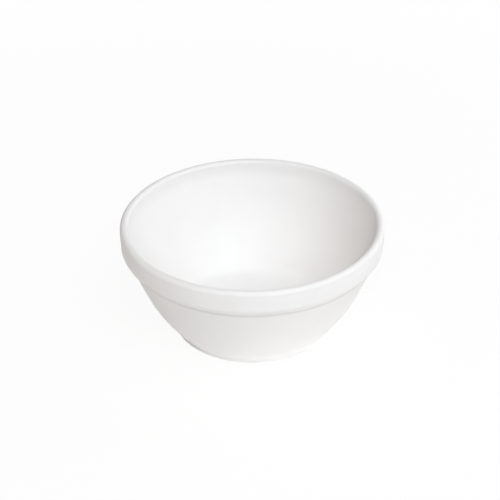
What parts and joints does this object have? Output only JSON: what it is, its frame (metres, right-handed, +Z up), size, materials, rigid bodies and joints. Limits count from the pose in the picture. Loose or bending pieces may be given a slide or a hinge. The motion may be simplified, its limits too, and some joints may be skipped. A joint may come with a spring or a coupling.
{
  "type": "soup bowl",
  "caption": "Round stackable soup bowl with a full-round rim over a plain stacking band, glazed tapering walls and a low foot ring left bare to stand on; holds soup or other food.",
  "frame": {"origin": "centre of the standing ring, in the plane of the table", "axes": "+Z up along the bowl's axis, out of its mouth; the bowl is the same all round, so X and Y are free"},
  "size_m": [0.14, 0.14, 0.062],
  "materials": {
    "bare_porcelain": "matte",
    "white_glaze": "gloss"
  },
  "bodies": {
    "root": {"porcelain_body": "bare_porcelain", "glaze_coat": "white_glaze", "foot_well_glaze": "white_glaze"}
  },
  "joints": []
}
